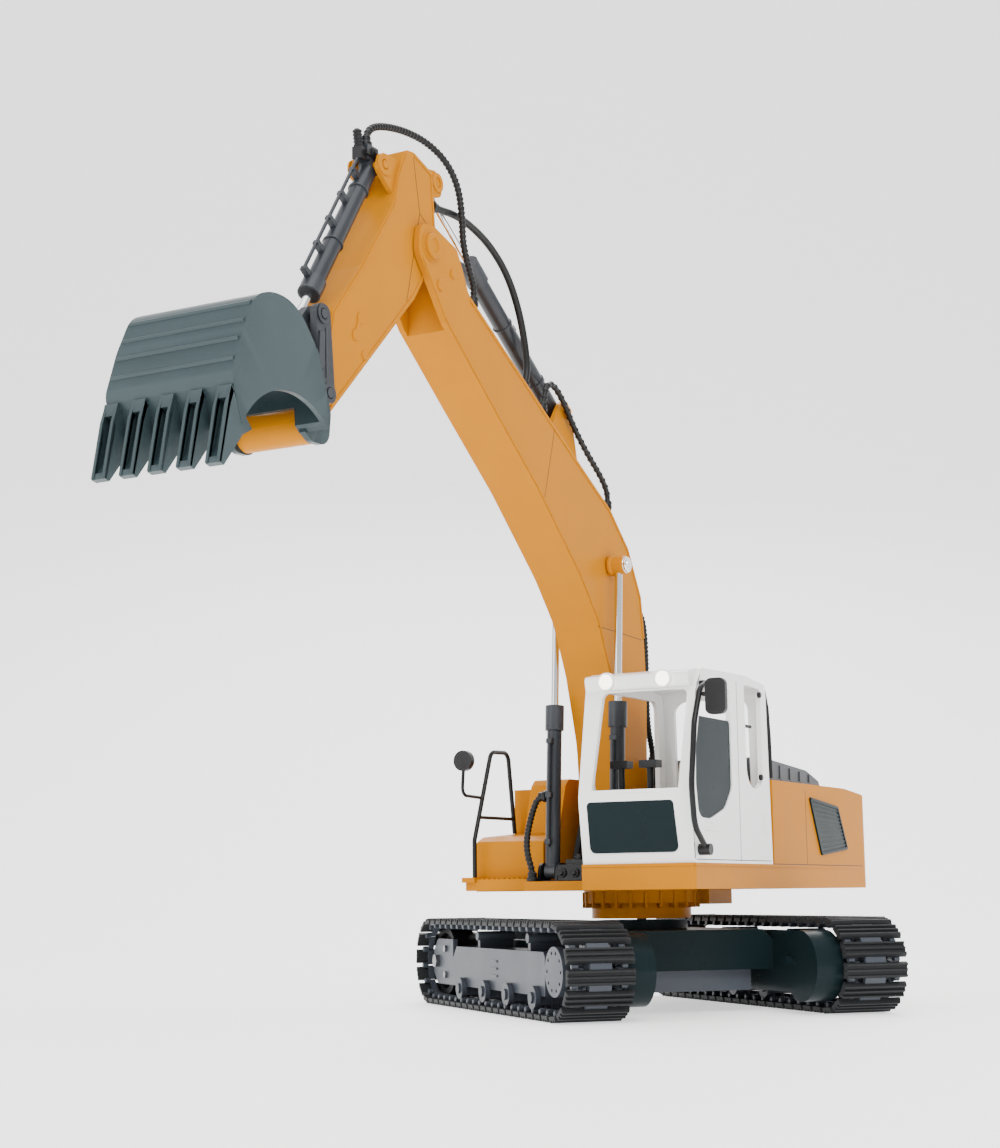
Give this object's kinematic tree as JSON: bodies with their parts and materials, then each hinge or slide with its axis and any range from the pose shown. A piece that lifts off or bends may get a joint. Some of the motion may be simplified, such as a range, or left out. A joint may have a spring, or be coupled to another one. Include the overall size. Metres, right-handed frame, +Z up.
{
  "type": "rc excavator",
  "caption": "Tracked excavator model with a slewing cab and house, hinged boom, stick and bucket with cylinders, and driven track wheels.",
  "frame": {"origin": "on the ground under the middle of the whole machine; the slewing axis is 115.6 mm behind it", "axes": "+X forward along the boom, +Y to the cab side, +Z up; the undercarriage stands turned 48.7 degrees to the left"},
  "size_m": [0.5282, 0.2844, 0.3933],
  "materials": {
    "orange_body": "glossy moulded plastic, warm orange-yellow",
    "white_cab": "glossy moulded plastic, off-white",
    "slate_bucket": "satin moulded plastic, slate teal-grey",
    "dark_teal": "satin moulded plastic, dark teal",
    "frame_grey": "satin moulded plastic, blue-grey",
    "track_black": "matte hard plastic, near black",
    "black_trim": "satin black plastic",
    "barrel_grey": "satin charcoal plastic",
    "hood_grey": "satin grey plastic",
    "steel_rod": "polished chrome",
    "screw_steel": "brushed dark steel",
    "hose_rubber": "matte black rubber",
    "seat_beige": "matte beige plastic",
    "lamp_clear": "clear lens",
    "circuit_green": "green circuit laminate",
    "battery_wrap": "blue shrink wrap"
  },
  "bodies": {
    "undercarriage": {"carbody": "dark_teal", "slew_shaft": "screw_steel", "battery_box": "frame_grey", "battery_door": "frame_grey", "battery_pack": "battery_wrap", "track_frames": "frame_grey", "idler_brackets": "frame_grey", "undercarriage_bolts": "screw_steel", "drive_covers": "dark_teal", "drive_gearmotors": "screw_steel", "track_belt_left": "track_black", "track_belt_right": "track_black"},
    "upper": {"slew_skirt": "orange_body", "swing_gearmotor": "screw_steel", "deck": "orange_body", "circuit_board": "circuit_green", "engine_house": "orange_body", "engine_hood": "hood_grey", "engine_grilles": "dark_teal", "side_tank": "orange_body", "handrail": "black_trim", "round_mirror": "black_trim", "cab_shell": "white_cab", "cab_panels": "dark_teal", "cab_lamps": "lamp_clear", "grab_rail": "black_trim", "seat": "seat_beige", "joysticks": "black_trim", "boom_bracket": "black_trim", "lift_clevises": "black_trim"},
    "boom": {"boom_left_shell": "orange_body", "boom_right_shell": "orange_body", "boom_pins": "screw_steel", "hose_boom_top": "hose_rubber", "hose_boom_back": "hose_rubber"},
    "lift_barrels": {"lift_barrels": "barrel_grey", "hose_lift_front": "hose_rubber"},
    "lift_rods": {"lift_rods": "steel_rod"},
    "stick_barrel": {"stick_barrel": "barrel_grey"},
    "stick_rod": {"stick_rod": "steel_rod"},
    "stick": {"stick_shells": "orange_body", "hose_bucket": "hose_rubber", "hose_stick": "hose_rubber"},
    "bucket_barrel": {"bucket_barrel": "barrel_grey"},
    "bucket_rod": {"bucket_rod": "steel_rod"},
    "rocker": {"rocker": "barrel_grey"},
    "bucket_link": {"bucket_link": "barrel_grey"},
    "bucket": {"bucket": "slate_bucket"},
    "sprocket_left": {"sprocket_left": "frame_grey"},
    "idler_left": {"idler_left": "black_trim"},
    "road_roller_left_1": {"road_roller_left_1": "frame_grey"},
    "road_roller_left_2": {"road_roller_left_2": "frame_grey"},
    "road_roller_left_3": {"road_roller_left_3": "frame_grey"},
    "road_roller_left_4": {"road_roller_left_4": "frame_grey"},
    "sprocket_right": {"sprocket_right": "frame_grey"},
    "idler_right": {"idler_right": "black_trim"},
    "road_roller_right_1": {"road_roller_right_1": "frame_grey"},
    "road_roller_right_2": {"road_roller_right_2": "frame_grey"},
    "road_roller_right_3": {"road_roller_right_3": "frame_grey"},
    "road_roller_right_4": {"road_roller_right_4": "frame_grey"}
  },
  "joints": [
    {"name": "slew", "type": "hinge", "parent": "undercarriage", "child": "upper", "pos_m": [-0.1156, 0, 0.05], "axis": [0, 0, 1], "continuous": true},
    {"name": "boom_lift", "type": "hinge", "parent": "upper", "child": "boom", "pos_m": [-0.1046, -0.0075, 0.092], "axis": [0, 1, 0], "range_deg": [-5, 30], "deforming": ["hose_boom_back"]},
    {"name": "lift_barrel_tilt", "type": "hinge", "parent": "upper", "child": "lift_barrels", "pos_m": [-0.067, -0.0075, 0.068], "axis": [0, 1, 0], "range_deg": [-4.55, 26.3], "deforming": ["hose_lift_front"]},
    {"name": "lift_rod_slide", "type": "slide", "parent": "lift_barrels", "child": "lift_rods", "axis": [-0.0632, 0, 0.998], "range_m": [-0.02093, 0.00366]},
    {"name": "stick_swing", "type": "hinge", "parent": "boom", "child": "stick", "pos_m": [0.0949, -0.0075, 0.3375], "axis": [0, 1, 0], "range_deg": [-10, 45], "deforming": ["hose_bucket", "hose_stick"]},
    {"name": "stick_barrel_tilt", "type": "hinge", "parent": "boom", "child": "stick_barrel", "pos_m": [-0.0416, -0.0075, 0.2925], "axis": [0, 1, 0], "range_deg": [-1.22, 4.81]},
    {"name": "stick_rod_slide", "type": "slide", "parent": "stick_barrel", "child": "stick_rod", "axis": [0.8398, 0, 0.5428], "range_m": [-0.00584, 0.02557]},
    {"name": "bucket_curl", "type": "hinge", "parent": "stick", "child": "bucket", "pos_m": [0.1899, -0.0075, 0.237], "axis": [0, 1, 0], "range_deg": [0, 80]},
    {"name": "rocker_swing", "type": "hinge", "parent": "stick", "child": "rocker", "pos_m": [0.1739, -0.0075, 0.2537], "axis": [0, 1, 0], "range_deg": [-0.2, 68.78]},
    {"name": "link_swing", "type": "hinge", "parent": "rocker", "child": "bucket_link", "pos_m": [0.1783, -0.0075, 0.2852], "axis": [0, 1, 0], "range_deg": [-52.36, 0.2]},
    {"name": "bucket_barrel_tilt", "type": "hinge", "parent": "stick", "child": "bucket_barrel", "pos_m": [0.1254, -0.0075, 0.366], "axis": [0, 1, 0], "range_deg": [-6.04, 0.2]},
    {"name": "bucket_rod_slide", "type": "slide", "parent": "bucket_barrel", "child": "bucket_rod", "axis": [0.5478, 0, -0.8366], "range_m": [-0.0002, 0.03399]},
    {"name": "sprocket_turn_left", "type": "hinge", "parent": "undercarriage", "child": "sprocket_left", "pos_m": [-0.10654, 0.11463, 0.0223], "axis": [-0.7513, 0.66, 0], "continuous": true},
    {"name": "idler_turn_left", "type": "hinge", "parent": "undercarriage", "child": "idler_left", "pos_m": [-0.22811, -0.02375, 0.0223], "axis": [-0.7513, 0.66, 0], "continuous": true},
    {"name": "roller_turn_left_1", "type": "hinge", "parent": "undercarriage", "child": "road_roller_left_1", "pos_m": [-0.199, 0.00938, 0.0096], "axis": [-0.7513, 0.66, 0], "continuous": true},
    {"name": "roller_turn_left_2", "type": "hinge", "parent": "undercarriage", "child": "road_roller_left_2", "pos_m": [-0.17491, 0.0368, 0.0096], "axis": [-0.7513, 0.66, 0], "continuous": true},
    {"name": "roller_turn_left_3", "type": "hinge", "parent": "undercarriage", "child": "road_roller_left_3", "pos_m": [-0.15214, 0.06272, 0.0096], "axis": [-0.7513, 0.66, 0], "continuous": true},
    {"name": "roller_turn_left_4", "type": "hinge", "parent": "undercarriage", "child": "road_roller_left_4", "pos_m": [-0.12805, 0.09014, 0.0096], "axis": [-0.7513, 0.66, 0], "continuous": true},
    {"name": "sprocket_turn_right", "type": "hinge", "parent": "undercarriage", "child": "sprocket_right", "pos_m": [-0.00309, 0.02375, 0.0223], "axis": [-0.7513, 0.66, 0], "continuous": true},
    {"name": "idler_turn_right", "type": "hinge", "parent": "undercarriage", "child": "idler_right", "pos_m": [-0.12466, -0.11463, 0.0223], "axis": [-0.7513, 0.66, 0], "continuous": true},
    {"name": "roller_turn_right_1", "type": "hinge", "parent": "undercarriage", "child": "road_roller_right_1", "pos_m": [-0.09556, -0.0815, 0.0096], "axis": [-0.7513, 0.66, 0], "continuous": true},
    {"name": "roller_turn_right_2", "type": "hinge", "parent": "undercarriage", "child": "road_roller_right_2", "pos_m": [-0.07147, -0.05408, 0.0096], "axis": [-0.7513, 0.66, 0], "continuous": true},
    {"name": "roller_turn_right_3", "type": "hinge", "parent": "undercarriage", "child": "road_roller_right_3", "pos_m": [-0.0487, -0.02816, 0.0096], "axis": [-0.7513, 0.66, 0], "continuous": true},
    {"name": "roller_turn_right_4", "type": "hinge", "parent": "undercarriage", "child": "road_roller_right_4", "pos_m": [-0.0246, -0.00074, 0.0096], "axis": [-0.7513, 0.66, 0], "continuous": true}
  ],
  "couplings": [
    {"joint": "lift_barrel_tilt", "follows": "boom_lift", "ratio": 0.87},
    {"joint": "lift_rod_slide", "follows": "boom_lift", "m_per_rad": -0.0396},
    {"joint": "stick_barrel_tilt", "follows": "stick_swing", "ratio": 0.1024},
    {"joint": "stick_rod_slide", "follows": "stick_swing", "m_per_rad": 0.0323},
    {"joint": "rocker_swing", "follows": "bucket_curl", "ratio": 0.8572},
    {"joint": "link_swing", "follows": "bucket_curl", "ratio": -0.652},
    {"joint": "bucket_barrel_tilt", "follows": "bucket_curl", "ratio": -0.073},
    {"joint": "bucket_rod_slide", "follows": "bucket_curl", "m_per_rad": 0.0242},
    {"joint": "idler_turn_left", "follows": "sprocket_turn_left", "ratio": 0.9832},
    {"joint": "roller_turn_left_1", "follows": "sprocket_turn_left", "ratio": 3.2593},
    {"joint": "roller_turn_left_2", "follows": "sprocket_turn_left", "ratio": 3.2593},
    {"joint": "roller_turn_left_3", "follows": "sprocket_turn_left", "ratio": 3.2593},
    {"joint": "roller_turn_left_4", "follows": "sprocket_turn_left", "ratio": 3.2593},
    {"joint": "idler_turn_right", "follows": "sprocket_turn_right", "ratio": 0.9832},
    {"joint": "roller_turn_right_1", "follows": "sprocket_turn_right", "ratio": 3.2593},
    {"joint": "roller_turn_right_2", "follows": "sprocket_turn_right", "ratio": 3.2593},
    {"joint": "roller_turn_right_3", "follows": "sprocket_turn_right", "ratio": 3.2593},
    {"joint": "roller_turn_right_4", "follows": "sprocket_turn_right", "ratio": 3.2593}
  ]
}
